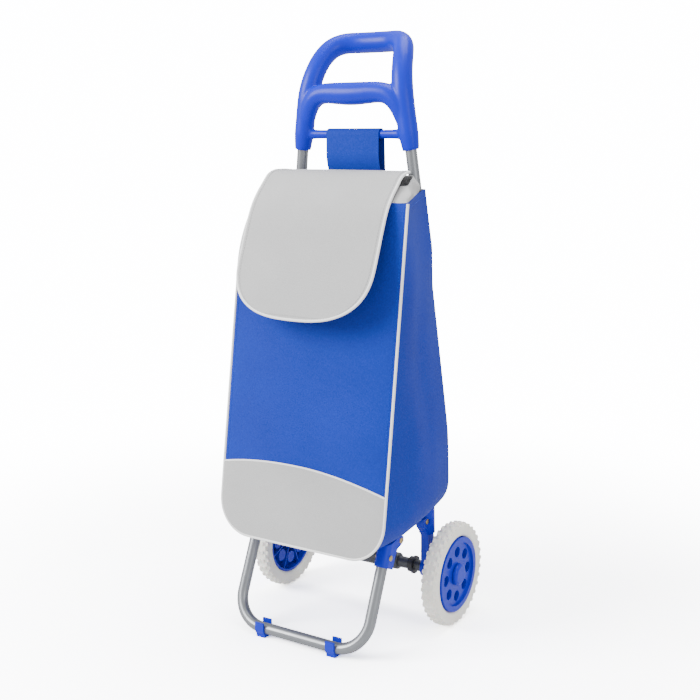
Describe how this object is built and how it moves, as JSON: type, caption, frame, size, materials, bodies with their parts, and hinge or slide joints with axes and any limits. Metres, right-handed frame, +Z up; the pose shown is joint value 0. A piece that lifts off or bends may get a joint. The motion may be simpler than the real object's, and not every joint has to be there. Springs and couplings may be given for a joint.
{
  "type": "shopping trolley",
  "caption": "Upright two-wheeled shopping trolley with a tapered soft bag, cover flap, tubular frame, arched grip handle and a folding front stand.",
  "frame": {"origin": "on the floor, under the middle of the whole trolley", "axes": "+Z up, +Y to the back, where the wheels are, X along the axle"},
  "size_m": [0.361, 0.303, 0.9437],
  "materials": {
    "blue_plastic": "semi-gloss moulded",
    "blue_gloss": "glossy moulded",
    "white_foam": "off-white foam, satin",
    "silver_tube": "silver powder coat",
    "nylon": "plain nylon",
    "brass": "plain rivet",
    "dark_steel": "dark grey paint",
    "white_piping": "smooth piping",
    "grey_cloth": "coated woven cloth",
    "blue_cloth": "coated woven cloth",
    "board": "fibre board"
  },
  "bodies": {
    "frame": {"axle_collar_left": "blue_plastic", "axle_collar_right": "blue_plastic", "axle_rod": "dark_steel", "axle_stiffener": "dark_steel", "axle_tube": "dark_steel", "bag_back_panel": "blue_cloth", "bag_base_board": "board", "bag_bottom_panel": "blue_cloth", "bag_collar": "grey_cloth", "bag_front_panel": "blue_cloth", "bag_lower_patch": "grey_cloth", "bag_side_left": "blue_cloth", "bag_side_right": "blue_cloth", "bag_tube_pocket": "blue_cloth", "front_piping": "white_piping", "handle": "blue_gloss", "hanging_strap": "blue_cloth", "patch_piping": "white_piping", "pivot_rivet_left": "brass", "pivot_rivet_right": "brass", "pivot_spacer_left": "dark_steel", "pivot_spacer_right": "dark_steel", "push_nut_left": "dark_steel", "push_nut_right": "dark_steel", "rear_bracket_left": "blue_plastic", "rear_bracket_right": "blue_plastic", "upright_tube_left": "silver_tube", "upright_tube_right": "silver_tube", "wheel_spacer_left": "nylon", "wheel_spacer_right": "nylon"},
    "wheel_left": {"wheel_bush_left": "nylon", "wheel_cap_left": "blue_plastic", "wheel_hub_left": "blue_plastic", "wheel_tyre_left": "white_foam"},
    "wheel_right": {"wheel_bush_right": "nylon", "wheel_cap_right": "blue_plastic", "wheel_hub_right": "blue_plastic", "wheel_tyre_right": "white_foam"},
    "platform": {"platform_bar_left": "dark_steel", "platform_bar_right": "dark_steel", "platform_rod_front": "dark_steel", "platform_rod_middle": "dark_steel", "platform_rod_rear": "dark_steel"},
    "leg": {"foot_clip_left": "blue_plastic", "foot_clip_right": "blue_plastic", "front_bracket_left": "blue_plastic", "front_bracket_right": "blue_plastic", "knee_rivet_left": "brass", "knee_rivet_right": "brass", "leg_rivet_left": "brass", "leg_rivet_right": "brass", "leg_tube": "silver_tube"},
    "flap": {"flap": "grey_cloth", "flap_piping": "white_piping"}
  },
  "joints": [
    {"name": "wheel_left_spin", "type": "hinge", "parent": "frame", "child": "wheel_left", "pos_m": [-0.163, 0.06651, 0.085], "axis": [1, 0, 0], "continuous": true},
    {"name": "wheel_right_spin", "type": "hinge", "parent": "frame", "child": "wheel_right", "pos_m": [0.163, 0.06651, 0.085], "axis": [1, 0, 0], "continuous": true},
    {"name": "platform_fold", "type": "hinge", "parent": "frame", "child": "platform", "pos_m": [0, 0.04951, 0.17], "axis": [-1, 0, 0], "range_deg": [0, 70], "deforming": ["bag_front_panel", "bag_lower_patch", "front_piping", "patch_piping", "bag_side_left", "bag_side_right", "bag_bottom_panel", "bag_base_board", "bag_collar", "flap", "flap_piping"]},
    {"name": "leg_fold", "type": "hinge", "parent": "platform", "child": "leg", "pos_m": [0, -0.04799, 0.17], "axis": [1, 0, 0], "range_deg": [0, 95.9]},
    {"name": "flap_open", "type": "hinge", "parent": "frame", "child": "flap", "pos_m": [0, 0.01751, 0.728], "axis": [-1, 0, 0], "range_deg": [0, 75]}
  ],
  "couplings": [
    {"joint": "leg_fold", "follows": "platform_fold", "ratio": 1.37}
  ]
}
